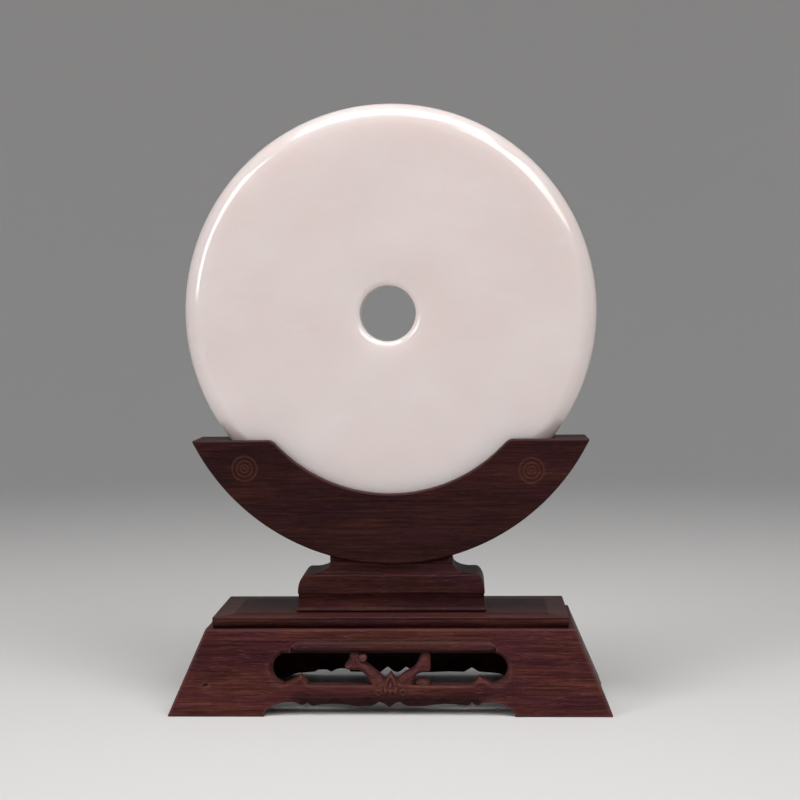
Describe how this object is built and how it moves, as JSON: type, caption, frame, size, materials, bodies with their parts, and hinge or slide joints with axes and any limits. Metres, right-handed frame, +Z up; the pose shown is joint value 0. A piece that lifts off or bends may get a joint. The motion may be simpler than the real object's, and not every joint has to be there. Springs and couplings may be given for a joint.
{
  "type": "jade disc on carved stand",
  "caption": "Upright round jade disc with a small central hole, resting in the groove of a crescent wooden cradle on a moulded neck and a splayed, pierced base.",
  "frame": {"origin": "on the table, under the middle of the base", "axes": "+Z up, +X to the right seen from the front, front face towards -Y"},
  "size_m": [0.2074, 0.0916, 0.2883],
  "materials": {
    "jade": "polished, translucent",
    "dark_wood": "satin, fine grain"
  },
  "bodies": {
    "root": {"jade_disc": "jade", "crescent_cradle": "dark_wood", "neck_block": "dark_wood", "top_board": "dark_wood", "front_apron": "dark_wood", "back_apron": "dark_wood", "left_end_board": "dark_wood", "right_end_board": "dark_wood"}
  },
  "joints": []
}
